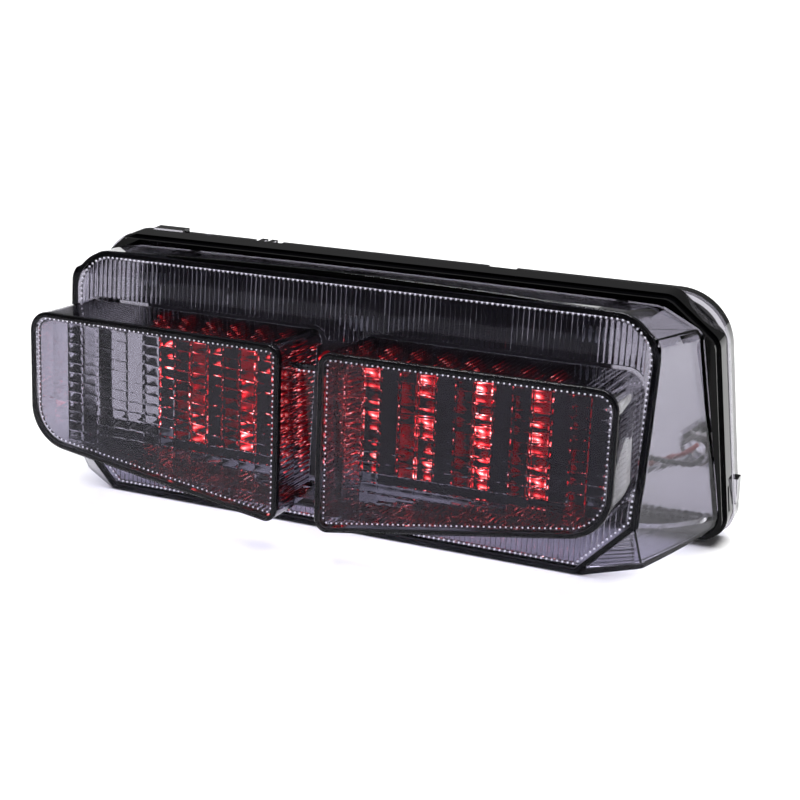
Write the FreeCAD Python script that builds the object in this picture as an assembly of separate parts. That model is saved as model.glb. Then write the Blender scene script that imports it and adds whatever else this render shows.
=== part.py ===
"""Twin-lens LED tail light for a motorcycle, one STEP file per piece, in millimetres.

The pieces are modelled from the plane that the light rests on (z = 0) and from the flat back of the
back cover (y = 0), with the lens facing -Y. Export then moves them so that the origin is the middle
of the two mounting studs, on the plane that the mounting bracket bears on. +X is to the right of
someone who faces the lens, and +Y points into the motorcycle.
"""
import FreeCAD, Part
import math
import os

# Overall size before the corners are rounded: half the width at the base, the height of the rim
# frame, and how far the lens boxes reach in front of the back cover. In what follows, "in" is
# measured from the half width and "down" from the height.
HALF_WIDTH = 127.75
HEIGHT = 84.8
DEPTH = 78.7

# Lens body: a shell that flares from the front panel to its rear edge. Each outline has a top corner,
# a shoulder and a base corner, mirrored about the middle.
BODY_REAR_Y = -20.0
REAR_TOP_IN = 26.25
REAR_TOP_DOWN = 3.2
REAR_SHOULDER_IN = 12.55
REAR_SHOULDER_DOWN = 10.4
REAR_SHOULDER_RADIUS = 5.0
REAR_BASE_IN = 2.35
REAR_BASE_HEIGHT = 3.6
REAR_CROWN = 0.7
BASE_RADIUS = 8.0
PANEL_TOP_IN = 28.75
PANEL_TOP_DOWN = -0.6
PANEL_SHOULDER_IN = 19.15
PANEL_SHOULDER_DOWN = 8.3
PANEL_SHOULDER_RADIUS = 14.0
PANEL_BASE_IN = 22.35
PANEL_BASE_RADIUS = 3.0
PANEL_CROWN = 2.3
PANEL_SETBACK = 20.9
PANEL_LEAN = math.radians(8.84)
PANEL_EDGE_RADIUS = 1.0
FACET_HEIGHT = 18.1
FACET_WIDTH = 18.3
FACET_DEPTH = 12.2
FACET_TURN_OUT = 0.7
LOWER_SIDE_IN = 1.0
LENS_WALL = 2.4
TONGUE_LENGTH = 7.5

# The two lens boxes and the block between them.
BOX_INNER_X = 6.8
BOX_OUTER_IN = 22.65
BOX_TOP_DOWN = 13.8
BOX_INNER_BASE_HEIGHT = 10.8
BOX_OUTER_BASE_HEIGHT = 24.8
BOX_CORNER_RADIUS = 4.5
BOX_OUTER_TOP_RADIUS = 7.0
BOX_SWEEP_RADIUS = 15.0
BOX_EDGE_RADIUS = 0.9
BOX_FACE_LEAN = math.radians(5.5)
BOX_FACE_SWEEP = math.radians(1.28)
BLOCK_SETBACK = 8.0
BLOCK_TOP_DOWN = 21.4
BLOCK_BASE_HEIGHT = 13.2

# Rim frame: the band that grips the edge of the lens, with a rebate at its back.
BAND_TOP_IN = 23.95
BAND_SHOULDER_IN = 7.45
BAND_SHOULDER_DOWN = 13.6
BAND_BASE_IN = 0.35
BAND_BASE_HEIGHT = 1.7
BAND_CROWN = 0.2
BAND_RADIUS = 7.0
BAND_FRONT_Y = -19.5
BAND_STEP_Y = -15.5
BAND_STEP = 0.9
BAND_REAR_Y = -7.0
REBATE_THICKNESS = 3.5
LIP_OVERHANG = 1.0
EDGE_CLEARANCE = 0.25
LATCH_HEIGHT = 9.0
LATCH_MIDDLE_HEIGHT = 16.0
LATCH_WIDTH = 1.8
LATCH_DEPTH = 0.9
LATCH_MARGIN = 1.0

# Back cover: the pan behind the band.
COVER_TOP_IN = 8.15
COVER_TOP_DOWN = 1.3
COVER_TOP_RADIUS = 19.0
COVER_BASE_HEIGHT = 0.3
COVER_WALL = 2.4
COVER_FLOOR = 2.6
TAB_IN = 28.25
TAB_WIDTH = 12.7
TAB_RISE = 1.4
TAB_DEPTH = 5.0
NOTCH_DEPTH = 1.4
LEFT_NOTCH = (-58.0, -46.6)
RIGHT_NOTCH = (34.4, 44.8)
NIB_WIDTH = 2.4
NIB_GAP = 1.6
NIB_RISE = 0.5

# LED board, on posts that stand on the cover's floor.
BOARD_IN = 39.75
BOARD_TOP_DOWN = 6.3
BOARD_BASE_HEIGHT = 6.0
BOARD_FRONT_Y = -28.0
BOARD_THICKNESS = 1.6
BOARD_CORNER_RADIUS = 3.0
BOARD_MARGIN = 6.0
POST_RADIUS = 3.4
POST_BORE_DEPTH = 9.0
OUTER_POST_IN = 5.0
OUTER_POST_INSET = 6.0
MIDDLE_POST_CLEARANCE = 0.2
MIDDLE_POST_TOP_INSET = 12.5
SCREW_RADIUS = 1.2
SCREW_CLEARANCE = 0.1
SCREW_HEAD_RADIUS = 2.6
SCREW_HEAD_HEIGHT = 1.8
SCREW_LENGTH = 9.0

# LEDs, in columns on the front of the board. Every third column is for the brake light.
LED_COLUMN_PITCH = 10.16
LED_ROW_PITCH = 5.08
LED_ROWS = 8
LED_MIDDLE_HEIGHT = 32.4
LED_RADIUS = 1.5
LED_FLANGE_RIM = 0.4
LED_FLANGE_THICKNESS = 1.0
LED_LENGTH = 5.4
BRAKE_COLUMN_STEP = 3

# Components on the back of the board: a resistor for each column, and the rest below them.
RESISTOR_RADIUS = 1.15
RESISTOR_LENGTH = 6.3
RESISTOR_DOWN = 18.9
LEAD_RADIUS = 0.3
LEAD_LENGTH = 2.0
COMPONENT_GAP = 5.0
DIODE_RADIUS = 1.35
DIODE_LENGTH = 5.2
DIODE_PITCH = 8.0
DIODE_IN = 26.0
REGULATOR_SIZE = (10.2, 4.5, 15.0)
REGULATOR_IN = 28.0
TERMINAL_SIZE = (7.0, 7.4, 14.0)
TERMINAL_IN = 1.0
TERMINAL_BASE_HEIGHT = 19.5

# Mounting studs (M6), their bosses and rubber pads, and the bracket's seat.
STUD_SPACING = 140.0
STUD_HEIGHT = 46.0
STUD_RADIUS = 3.0
STUD_FREE_LENGTH = 18.0
STUD_NECK_RIM = 0.2
STUD_HEAD_RIM = 2.5
STUD_HEAD_THICKNESS = 4.0
STUD_HEAD_DEPTH = 3.0
BOSS_WALL = 4.0
BOSS_HEIGHT = 3.0
INNER_BOSS_DEPTH = 9.0
PAD_THICKNESS = 3.0
PAD_RIM_INSET = 0.5
PAD_BORE_CLEARANCE = 0.2

# Electrical inlet, breathers and wires.
INLET_IN = 16.25
INLET_HEIGHT = 29.0
INLET_NOSE_RADIUS = 4.2
INLET_NOSE_WALL = 1.0
INLET_NOSE_Y = -8.6
INLET_FLANGE_RIM = 3.8
INLET_FLANGE_THICKNESS = 1.6
INLET_SEAL_THICKNESS = 1.0
INLET_SEAL_INSET = 1.0
INLET_BARREL_WALL = 1.2
INLET_BARREL_LENGTH = 6.0
INLET_SOCKET_RIM = 1.0
INLET_SOCKET_DEPTH = 7.2
INLET_NUT_RIM = 2.0
INLET_NUT_THICKNESS = 3.0
PIN_COUNT = 3
PIN_RADIUS = 0.7
PIN_INSET = 1.6
PIN_PROJECTION = 2.0
BREATHER_X = 40.0
BREATHER_HEIGHT = 20.0
BREATHER_STEM_RADIUS = 2.4
BREATHER_CAP_RIM = 2.6
BREATHER_CAP_HEIGHT = 3.6
BREATHER_BARB_RIM = 1.0
BREATHER_BARB_LENGTH = 2.0
WIRE_RADIUS = 0.9
BEND_SHARE = 0.45
FIT_GAP = 0.1

# What follows from the sizes above.
REAR_BASE_HALF_WIDTH = HALF_WIDTH - REAR_BASE_IN
PANEL_BASE_HALF_WIDTH = HALF_WIDTH - PANEL_BASE_IN
PANEL_SHOULDER_HALF_WIDTH = HALF_WIDTH - PANEL_SHOULDER_IN
PANEL_SHOULDER_HEIGHT = HEIGHT - PANEL_SHOULDER_DOWN
PANEL_TOP_HEIGHT = HEIGHT - PANEL_TOP_DOWN
PANEL_BASE_Y = PANEL_SETBACK - DEPTH
BOX_FACE_Y = -DEPTH
BOX_OUTER_X = HALF_WIDTH - BOX_OUTER_IN
BOX_TOP_HEIGHT = HEIGHT - BOX_TOP_DOWN
BLOCK_FACE_Y = BLOCK_SETBACK - DEPTH
BLOCK_TOP_HEIGHT = HEIGHT - BLOCK_TOP_DOWN
BAND_BASE_HALF_WIDTH = HALF_WIDTH - BAND_BASE_IN
BAND_SHOULDER_HALF_WIDTH = HALF_WIDTH - BAND_SHOULDER_IN
BAND_SHOULDER_HEIGHT = HEIGHT - BAND_SHOULDER_DOWN
REBATE_FRONT_Y = BAND_REAR_Y - REBATE_THICKNESS
REBATE_LIP = LENS_WALL + LIP_OVERHANG
LOWER_POST_HEIGHT = REAR_BASE_HEIGHT + REBATE_LIP + MIDDLE_POST_CLEARANCE + POST_RADIUS
TONGUE_END_Y = BODY_REAR_Y + TONGUE_LENGTH
COVER_TOP_HALF_WIDTH = HALF_WIDTH - COVER_TOP_IN
COVER_TOP_HEIGHT = HEIGHT - COVER_TOP_DOWN
COVER_FLOOR_Y = -COVER_FLOOR
BOARD_HALF_WIDTH = HALF_WIDTH - BOARD_IN
BOARD_TOP_HEIGHT = HEIGHT - BOARD_TOP_DOWN
BOARD_BACK_Y = BOARD_FRONT_Y + BOARD_THICKNESS
LED_COLUMNS = 2 * int((BOARD_HALF_WIDTH - BOARD_MARGIN) / LED_COLUMN_PITCH)
LED_FLANGE_RADIUS = LED_RADIUS + LED_FLANGE_RIM
RESISTOR_MIDDLE_HEIGHT = BOARD_TOP_HEIGHT - RESISTOR_DOWN
LOWER_ROW_TOP = RESISTOR_MIDDLE_HEIGHT - RESISTOR_LENGTH / 2 - LEAD_LENGTH - COMPONENT_GAP
TERMINAL_OUTER_X = BOARD_HALF_WIDTH - TERMINAL_IN
STUD_NECK_RADIUS = STUD_RADIUS + STUD_NECK_RIM
STUD_HEAD_RADIUS = STUD_RADIUS + STUD_HEAD_RIM
BOSS_RADIUS = STUD_HEAD_RADIUS + BOSS_WALL
PAD_RADIUS = BOSS_RADIUS - PAD_RIM_INSET
SEAT_Y = BOSS_HEIGHT + PAD_THICKNESS
INLET_X = HALF_WIDTH - INLET_IN
INLET_FLANGE_RADIUS = INLET_NOSE_RADIUS + INLET_FLANGE_RIM
INLET_SOCKET_RADIUS = INLET_NOSE_RADIUS + INLET_SOCKET_RIM
PIN_CIRCLE_RADIUS = INLET_NOSE_RADIUS - PIN_INSET

# For building only: a length beyond the whole light, a spare length that is cut off again, how many
# walls deep a hollow reaches so that it opens into the next one, the least corner radius, and the
# least cosine between two directions that count as the same.
FAR = 400.0
SPARE = 20.0
HOLLOW_REACH = 1.2
LEAST_RADIUS = 0.4
ALIGNED = 0.9999
LEFT, RIGHT = -1, 1


def vector(x, y, z):
    return FreeCAD.Vector(x, y, z)


def mirrored(corners):
    """A full outline from the corners of its right half, listed from the top to the base."""
    left = [(-x, z, radius) for x, z, radius in reversed(corners)]
    return corners + left


def moved_outwards(corners, distance):
    """The outline with each of its straight sides moved outwards by the distance."""
    result = []
    for index, (x, z, radius) in enumerate(corners):
        before = corners[index - 1]
        after = corners[(index + 1) % len(corners)]
        into = vector(x - before[0], 0, z - before[1]).normalize()
        out = vector(after[0] - x, 0, after[1] - z).normalize()
        normal_in = vector(-into.z, 0, into.x)
        normal_out = vector(-out.z, 0, out.x)
        reach = (normal_in + normal_out).multiply(distance / (1 + normal_in.dot(normal_out)))
        rounded = max(radius + distance, LEAST_RADIUS)
        result.append((x + reach.x, z + reach.z, rounded))
    return result


def corner_arc(before, corner, after, radius, y):
    """Start, middle and end of the arc that rounds one corner of an outline."""
    point = vector(corner[0], y, corner[1])
    back = (vector(before[0], y, before[1]) - point).normalize()
    ahead = (vector(after[0], y, after[1]) - point).normalize()
    half_angle = back.getAngle(ahead) / 2
    tangent = radius / math.tan(half_angle)
    bisector = (back + ahead).normalize()
    centre = point + bisector * (radius / math.sin(half_angle))
    return point + back * tangent, centre - bisector * radius, point + ahead * tangent


def outline_wire(corners, y, crown=0.0):
    """Closed wire of lines and arcs at the given y. The last side, the top one, rises by the crown."""
    arcs = []
    for index, corner in enumerate(corners):
        before = corners[index - 1]
        after = corners[(index + 1) % len(corners)]
        arcs.append(corner_arc(before, corner, after, corner[2], y))
    edges = []
    for index, (start, middle, end) in enumerate(arcs):
        edges.append(Part.Arc(start, middle, end).toShape())
        following = arcs[(index + 1) % len(arcs)][0]
        is_top = index == len(arcs) - 1
        if is_top and crown > 0:
            peak = (end + following) * 0.5 + vector(0, 0, crown)
            edges.append(Part.Arc(end, peak, following).toShape())
        else:
            edges.append(Part.LineSegment(end, following).toShape())
    return Part.Wire(edges)


def slab(corners, y_from, y_to, crown=0.0):
    """The outline carried straight back from one y to another."""
    face = Part.Face(outline_wire(corners, y_from, crown))
    return face.extrude(vector(0, y_to - y_from, 0))


def ring(corners, outer, inner, y_from, y_to, crown=0.0):
    """Slab between the outline moved outwards by two distances."""
    whole = slab(moved_outwards(corners, outer), y_from, y_to, crown)
    return whole.cut(slab(moved_outwards(corners, inner), y_from, y_to, crown))


def beyond(point, direction):
    """All the space on one side of a plane, as a solid large enough for the light."""
    return Part.makeCylinder(FAR, FAR, point, direction)


def rod(x, z, radius, y_from, y_to):
    """Cylinder along Y."""
    return Part.makeCylinder(radius, y_to - y_from, vector(x, y_from, z), vector(0, 1, 0))


def block(x_range, y_range, z_range):
    size = [high - low for low, high in (x_range, y_range, z_range)]
    return Part.makeBox(size[0], size[1], size[2], vector(x_range[0], y_range[0], z_range[0]))


def flipped(shape):
    """The mirror image about the light's middle plane."""
    return shape.mirror(vector(0, 0, 0), vector(1, 0, 0))


def outline_corners(top, shoulder, base):
    """Corners of an outline whose top and shoulder are given as (in, down, radius)."""
    right = [(HALF_WIDTH - inwards, HEIGHT - down, radius) for inwards, down, radius in (top, shoulder)]
    return mirrored(right + [base])


def rear_corners():
    return outline_corners(
        (REAR_TOP_IN, REAR_TOP_DOWN, REAR_SHOULDER_RADIUS),
        (REAR_SHOULDER_IN, REAR_SHOULDER_DOWN, REAR_SHOULDER_RADIUS),
        (REAR_BASE_HALF_WIDTH, REAR_BASE_HEIGHT, BASE_RADIUS),
    )


def panel_corners():
    return outline_corners(
        (PANEL_TOP_IN, PANEL_TOP_DOWN, PANEL_SHOULDER_RADIUS),
        (PANEL_SHOULDER_IN, PANEL_SHOULDER_DOWN, PANEL_SHOULDER_RADIUS),
        (PANEL_BASE_HALF_WIDTH, 0.0, PANEL_BASE_RADIUS),
    )


def band_corners():
    return outline_corners(
        (BAND_TOP_IN, 0.0, BAND_RADIUS),
        (BAND_SHOULDER_IN, BAND_SHOULDER_DOWN, BAND_RADIUS),
        (BAND_BASE_HALF_WIDTH, BAND_BASE_HEIGHT, BASE_RADIUS),
    )


def cover_corners():
    return mirrored([
        (COVER_TOP_HALF_WIDTH, COVER_TOP_HEIGHT, COVER_TOP_RADIUS),
        (HALF_WIDTH, COVER_BASE_HEIGHT, BASE_RADIUS),
    ])


def panel_y(height):
    """Where the front panel's plane is at a height."""
    return PANEL_BASE_Y + height * math.tan(PANEL_LEAN)


def rounded_front(solid, direction, radius):
    """The solid with the edges of its front face rounded. The face is the one that looks that way."""
    for face in solid.Faces:
        is_flat = isinstance(face.Surface, Part.Plane)
        if is_flat and face.normalAt(0, 0).dot(direction) > ALIGNED:
            return solid.makeFillet(radius, face.Edges)
    raise ValueError("no face looks that way")


def front_outline():
    """The body's outline where the box faces are, carried on from the rear edge through the panel."""
    front = []
    for rear, panel in zip(rear_corners(), panel_corners()):
        share = (BOX_FACE_Y - BODY_REAR_Y) / (panel_y(panel[1]) - BODY_REAR_Y)
        x = rear[0] + (panel[0] - rear[0]) * share
        z = rear[1] + (panel[1] - rear[1]) * share
        front.append((x, z, panel[2]))
    share = (BOX_FACE_Y - BODY_REAR_Y) / (panel_y(PANEL_TOP_HEIGHT) - BODY_REAR_Y)
    crown = REAR_CROWN + (PANEL_CROWN - REAR_CROWN) * share
    return front, crown


def flared_body(inset):
    """The lens body as a solid, made smaller all round by the inset."""
    front, front_crown = front_outline()
    front_wire = outline_wire(moved_outwards(front, -inset), BOX_FACE_Y, front_crown)
    rear_wire = outline_wire(moved_outwards(rear_corners(), -inset), BODY_REAR_Y, REAR_CROWN)
    body = Part.makeLoft([front_wire, rear_wire], True, True)
    panel_normal = vector(0, -math.cos(PANEL_LEAN), math.sin(PANEL_LEAN))
    panel_point = vector(0, PANEL_BASE_Y, 0) - panel_normal * inset
    body = body.cut(beyond(panel_point, panel_normal))
    for side in (LEFT, RIGHT):
        body = body.cut(corner_facet(side, inset))
        body = body.cut(lower_side(side, inset))
    return body if inset else rounded_front(body, panel_normal, PANEL_EDGE_RADIUS)


def facet_points():
    """The right facet's corners: up the panel's side, along its base, and back from its base."""
    share = FACET_HEIGHT / PANEL_SHOULDER_HEIGHT
    side_x = PANEL_BASE_HALF_WIDTH + (PANEL_SHOULDER_HALF_WIDTH - PANEL_BASE_HALF_WIDTH) * share
    return (
        vector(side_x, panel_y(FACET_HEIGHT), FACET_HEIGHT),
        vector(side_x - FACET_WIDTH, PANEL_BASE_Y, 0),
        vector(side_x + FACET_TURN_OUT, PANEL_BASE_Y + FACET_DEPTH, 0),
    )


def beyond_three(side, points, inset):
    """What lies outside the plane through three points of the right side, for either side."""
    first, second, third = points
    direction = (second - first).cross(third - first).normalize()
    if direction.z > 0:
        direction = direction * -1
    solid = beyond(first - direction * inset, direction)
    return solid if side == RIGHT else flipped(solid)


def corner_facet(side, inset):
    """What the slanted facet cuts off a lower front corner."""
    return beyond_three(side, facet_points(), inset)


def lower_side(side, inset):
    """What the side loses between the facet and the lower corner at its rear."""
    up_side, base_front, base_side = facet_points()
    rear_x = REAR_BASE_HALF_WIDTH - LOWER_SIDE_IN
    rear = vector(rear_x, BODY_REAR_Y, REAR_BASE_HEIGHT + BASE_RADIUS)
    return beyond_three(side, (up_side, base_side, rear), inset)


def lens_box(side, inset):
    """One projecting box, square to its face, which leans back and sweeps back towards the outside."""
    front_y = BOX_FACE_Y - SPARE
    rear_y = panel_y(BOX_TOP_HEIGHT) + HOLLOW_REACH * inset
    rise = math.tan(BOX_FACE_LEAN) * (BOX_FACE_Y - front_y)
    corners = [
        (BOX_INNER_X, BOX_TOP_HEIGHT + rise, BOX_CORNER_RADIUS),
        (BOX_OUTER_X, BOX_TOP_HEIGHT + rise, BOX_OUTER_TOP_RADIUS),
        (BOX_OUTER_X, BOX_OUTER_BASE_HEIGHT + rise, BOX_SWEEP_RADIUS),
        (BOX_INNER_X, BOX_INNER_BASE_HEIGHT + rise, BOX_CORNER_RADIUS),
    ]
    face = Part.Face(outline_wire(moved_outwards(corners, -inset), front_y))
    depth = rear_y - front_y
    solid = face.extrude(vector(0, depth, -depth * math.tan(BOX_FACE_LEAN)))
    direction = vector(math.sin(BOX_FACE_SWEEP), -math.cos(BOX_FACE_LEAN), math.sin(BOX_FACE_LEAN))
    direction.normalize()
    point = vector(BOX_INNER_X, BOX_FACE_Y, BOX_TOP_HEIGHT) - direction * inset
    solid = solid.cut(beyond(point, direction))
    if not inset:
        solid = rounded_front(solid, direction, BOX_EDGE_RADIUS)
    return solid if side == RIGHT else flipped(solid)


def centre_block(inset):
    """The recessed block that joins the two boxes. Its hollow reaches through their side walls."""
    overlap = LENS_WALL + BOX_CORNER_RADIUS if inset else LENS_WALL / 2
    reach = BOX_INNER_X + overlap
    rear_y = panel_y(BLOCK_TOP_HEIGHT) + HOLLOW_REACH * inset
    return block(
        (-reach, reach),
        (BLOCK_FACE_Y + inset, rear_y),
        (BLOCK_BASE_HEIGHT + inset, BLOCK_TOP_HEIGHT - inset),
    )


def lens_volume(inset):
    body = flared_body(inset)
    return body.fuse([lens_box(LEFT, inset), lens_box(RIGHT, inset), centre_block(inset)])


def lens_cover():
    outer = lens_volume(0.0).fuse(slab(rear_corners(), BODY_REAR_Y, TONGUE_END_Y, REAR_CROWN))
    hollow = slab(moved_outwards(rear_corners(), -LENS_WALL), BODY_REAR_Y, TONGUE_END_Y, REAR_CROWN)
    return outer.cut(lens_volume(LENS_WALL).fuse(hollow)).removeSplitter()


def latch_recess(side):
    """Blind recess in the side of the band, where the latch of the back cover shows."""
    share = (LATCH_MIDDLE_HEIGHT - BAND_BASE_HEIGHT) / (BAND_SHOULDER_HEIGHT - BAND_BASE_HEIGHT)
    surface_x = BAND_BASE_HALF_WIDTH + (BAND_SHOULDER_HALF_WIDTH - BAND_BASE_HALF_WIDTH) * share
    middle_y = (BAND_STEP_Y + REBATE_FRONT_Y) / 2
    recess = block(
        (surface_x - LATCH_DEPTH, surface_x + LATCH_DEPTH),
        (middle_y - LATCH_WIDTH / 2, middle_y + LATCH_WIDTH / 2),
        (LATCH_MIDDLE_HEIGHT - LATCH_HEIGHT / 2, LATCH_MIDDLE_HEIGHT + LATCH_HEIGHT / 2),
    )
    return recess if side == RIGHT else flipped(recess)


def rim_frame():
    """Band with a rebate at its back, against which the edge of the lens is bonded."""
    stepped_in = moved_outwards(band_corners(), -BAND_STEP)
    low = slab(stepped_in, BAND_FRONT_Y, BAND_STEP_Y, BAND_CROWN)
    high = slab(band_corners(), BAND_STEP_Y, BAND_REAR_Y, BAND_CROWN)
    seat = moved_outwards(rear_corners(), EDGE_CLEARANCE)
    throat = moved_outwards(rear_corners(), -REBATE_LIP)
    frame = low.fuse(high)
    frame = frame.cut(slab(seat, BAND_FRONT_Y, REBATE_FRONT_Y, REAR_CROWN))
    frame = frame.cut(slab(throat, REBATE_FRONT_Y, BAND_REAR_Y, REAR_CROWN))
    for side in (LEFT, RIGHT):
        frame = frame.cut(latch_recess(side))
    return frame.removeSplitter()


def lens_seal():
    """Bead of sealant between the end of the lens's edge and the rebate."""
    outline = rear_corners()
    return ring(outline, EDGE_CLEARANCE, -REBATE_LIP, TONGUE_END_Y, REBATE_FRONT_Y, REAR_CROWN)


def post_places():
    """Where the board is screwed down: near its corners and twice on its middle line."""
    outer_x = BOARD_HALF_WIDTH - OUTER_POST_IN
    heights = (BOARD_BASE_HEIGHT + OUTER_POST_INSET, BOARD_TOP_HEIGHT - OUTER_POST_INSET)
    outer = [(side * outer_x, z) for side in (LEFT, RIGHT) for z in heights]
    lower = (0.0, LOWER_POST_HEIGHT)
    upper = (0.0, BOARD_TOP_HEIGHT - MIDDLE_POST_TOP_INSET)
    return outer + [lower, upper]


def stud_x(side):
    return side * STUD_SPACING / 2


def edge_tab():
    """Tab that stands up from the cover's top edge."""
    from_x = TAB_IN - HALF_WIDTH
    heights = (COVER_TOP_HEIGHT - COVER_WALL / 2, COVER_TOP_HEIGHT + TAB_RISE)
    return block((from_x, from_x + TAB_WIDTH), (-TAB_DEPTH, 0), heights)


def edge_notch(x_range):
    """Shallow notch in the cover's top edge."""
    heights = (COVER_TOP_HEIGHT - NOTCH_DEPTH, COVER_TOP_HEIGHT + SPARE)
    return block(x_range, (BAND_REAR_Y, 0), heights)


def edge_nib(number):
    """One of the two nibs that stand up from the floor of the left notch."""
    first_x = (LEFT_NOTCH[0] + LEFT_NOTCH[1] - NIB_GAP) / 2 - NIB_WIDTH
    from_x = first_x + number * (NIB_WIDTH + NIB_GAP)
    heights = (COVER_TOP_HEIGHT - COVER_WALL, COVER_TOP_HEIGHT + NIB_RISE)
    return block((from_x, from_x + NIB_WIDTH), (-TAB_DEPTH, 0), heights)


def latch_rib(side):
    """Rib on the cover's side, in line with the recess in the band."""
    share = (LATCH_MIDDLE_HEIGHT - COVER_BASE_HEIGHT) / (COVER_TOP_HEIGHT - COVER_BASE_HEIGHT)
    surface_x = HALF_WIDTH - COVER_TOP_IN * share
    rib = block(
        (surface_x - COVER_WALL / 2, surface_x + LATCH_DEPTH),
        (BAND_REAR_Y + LATCH_MARGIN, -LATCH_MARGIN),
        (LATCH_MIDDLE_HEIGHT - LATCH_HEIGHT / 2, LATCH_MIDDLE_HEIGHT + LATCH_HEIGHT / 2),
    )
    return rib if side == RIGHT else flipped(rib)


def mounting_stud(side):
    """M6 stud: a head moulded into the cover's boss, a plain neck through the pad, and the free end."""
    x = stud_x(side)
    neck_y = BOSS_HEIGHT - STUD_HEAD_DEPTH
    head = rod(x, STUD_HEIGHT, STUD_HEAD_RADIUS, neck_y - STUD_HEAD_THICKNESS, neck_y)
    neck = rod(x, STUD_HEIGHT, STUD_NECK_RADIUS, neck_y, SEAT_Y)
    free_end = rod(x, STUD_HEIGHT, STUD_RADIUS, SEAT_Y, SEAT_Y + STUD_FREE_LENGTH)
    return head.fuse([neck, free_end])


def cover_shell():
    """Open-fronted pan with its tab, notches and latch ribs."""
    shell = ring(cover_corners(), 0.0, -COVER_WALL, BAND_REAR_Y, 0.0)
    shell = shell.fuse(slab(cover_corners(), COVER_FLOOR_Y, 0.0))
    for notch in (LEFT_NOTCH, RIGHT_NOTCH):
        shell = shell.cut(edge_notch(notch))
    shell = shell.fuse([edge_tab(), edge_nib(0), edge_nib(1)])
    return shell.fuse([latch_rib(LEFT), latch_rib(RIGHT)])


def back_cover():
    """The shell with bosses for the studs, posts for the board, and holes in its floor."""
    cover = cover_shell()
    for side in (LEFT, RIGHT):
        cover = cover.fuse(rod(stud_x(side), STUD_HEIGHT, BOSS_RADIUS, -INNER_BOSS_DEPTH, BOSS_HEIGHT))
    cover = cover.fuse(rod(0.0, STUD_HEIGHT, BOSS_RADIUS, COVER_FLOOR_Y, SEAT_Y))
    for x, z in post_places():
        cover = cover.fuse(rod(x, z, POST_RADIUS, BOARD_BACK_Y, COVER_FLOOR_Y))
    bore_radius = SCREW_RADIUS + SCREW_CLEARANCE
    for x, z in post_places():
        cover = cover.cut(rod(x, z, bore_radius, BOARD_BACK_Y, BOARD_BACK_Y + POST_BORE_DEPTH))
    for side in (LEFT, RIGHT):
        cover = cover.cut(mounting_stud(side))
        breather_x = side * BREATHER_X
        cover = cover.cut(rod(breather_x, BREATHER_HEIGHT, BREATHER_STEM_RADIUS, COVER_FLOOR_Y, 0.0))
    cover = cover.cut(rod(INLET_X, INLET_HEIGHT, INLET_NOSE_RADIUS + FIT_GAP, COVER_FLOOR_Y, 0.0))
    return cover.removeSplitter()


def seat_pads():
    """Rubber pads on the stud bosses, which the bracket bears on."""
    pads = []
    bore_radius = STUD_NECK_RADIUS + PAD_BORE_CLEARANCE
    for side in (LEFT, RIGHT):
        pad = rod(stud_x(side), STUD_HEIGHT, PAD_RADIUS, BOSS_HEIGHT, SEAT_Y)
        bore = rod(stud_x(side), STUD_HEIGHT, bore_radius, BOSS_HEIGHT, SEAT_Y)
        pads.append(pad.cut(bore))
    return Part.makeCompound(pads)


def led_board():
    corners = [
        (-BOARD_HALF_WIDTH, BOARD_TOP_HEIGHT, BOARD_CORNER_RADIUS),
        (BOARD_HALF_WIDTH, BOARD_TOP_HEIGHT, BOARD_CORNER_RADIUS),
        (BOARD_HALF_WIDTH, BOARD_BASE_HEIGHT, BOARD_CORNER_RADIUS),
        (-BOARD_HALF_WIDTH, BOARD_BASE_HEIGHT, BOARD_CORNER_RADIUS),
    ]
    board = slab(corners, BOARD_FRONT_Y, BOARD_BACK_Y)
    for x, z in post_places():
        board = board.cut(rod(x, z, SCREW_RADIUS + SCREW_CLEARANCE, BOARD_FRONT_Y, BOARD_BACK_Y))
    return board


def board_screws():
    screws = []
    for x, z in post_places():
        head = rod(x, z, SCREW_HEAD_RADIUS, BOARD_FRONT_Y - SCREW_HEAD_HEIGHT, BOARD_FRONT_Y)
        shank = rod(x, z, SCREW_RADIUS, BOARD_FRONT_Y, BOARD_FRONT_Y + SCREW_LENGTH)
        screws.append(head.fuse(shank))
    return Part.makeCompound(screws)


def column_x(column):
    return (column - (LED_COLUMNS - 1) / 2) * LED_COLUMN_PITCH


def led(x, z):
    """Round LED with its flange on the board and its dome towards the lens."""
    flange = rod(x, z, LED_FLANGE_RADIUS, BOARD_FRONT_Y - LED_FLANGE_THICKNESS, BOARD_FRONT_Y)
    dome_y = BOARD_FRONT_Y - LED_LENGTH + LED_RADIUS
    barrel = rod(x, z, LED_RADIUS, dome_y, BOARD_FRONT_Y - LED_FLANGE_THICKNESS)
    ball = Part.makeSphere(LED_RADIUS, vector(x, dome_y, z), vector(0, -1, 0))
    return flange.fuse([barrel, ball]).removeSplitter()


def led_group(side, is_brake):
    """The LEDs of one half of the board: every third column is brighter, for the brake light."""
    lamps = []
    for column in range(LED_COLUMNS):
        on_this_side = (column_x(column) > 0) == (side == RIGHT)
        brake_column = column % BRAKE_COLUMN_STEP == 0
        if not on_this_side or brake_column != is_brake:
            continue
        for row in range(LED_ROWS):
            z = LED_MIDDLE_HEIGHT + (row - (LED_ROWS - 1) / 2) * LED_ROW_PITCH
            lamps.append(led(column_x(column), z))
    return Part.makeCompound(lamps)


def upright_component(x, middle_height, radius, length):
    """Leaded component that lies against the back of the board, with its leads up and down."""
    y = BOARD_BACK_Y + radius
    base = middle_height - length / 2
    up = vector(0, 0, 1)
    body = Part.makeCylinder(radius, length, vector(x, y, base), up)
    lead_base = vector(x, y, base - LEAD_LENGTH)
    leads = Part.makeCylinder(LEAD_RADIUS, length + 2 * LEAD_LENGTH, lead_base, up)
    return body.fuse(leads).removeSplitter()


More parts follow.
